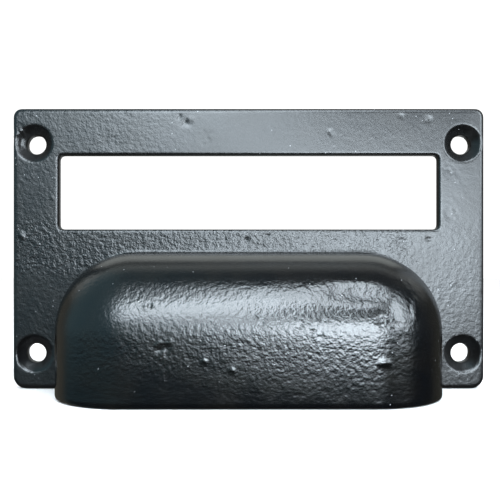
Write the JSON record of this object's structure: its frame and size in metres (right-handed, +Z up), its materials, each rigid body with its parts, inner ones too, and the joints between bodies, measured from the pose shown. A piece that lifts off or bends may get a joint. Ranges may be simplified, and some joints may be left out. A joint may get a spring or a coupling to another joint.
{
  "type": "label frame pull",
  "caption": "Cast iron drawer pull with a rectangular card window in a flat screw-on plate above a hollow, rounded finger cup that is open below, finished in black enamel.",
  "frame": {"origin": "middle of the rectangle of screw holes, on the flat back face", "axes": "+X to the right along the width, +Y back into the drawer front, +Z up; the front faces -Y"},
  "size_m": [0.11, 0.029, 0.0654],
  "materials": {
    "black_iron": "rough sand-cast surface under a semi-gloss black enamel"
  },
  "bodies": {
    "root": {"pull_casting": "black_iron"}
  },
  "joints": []
}
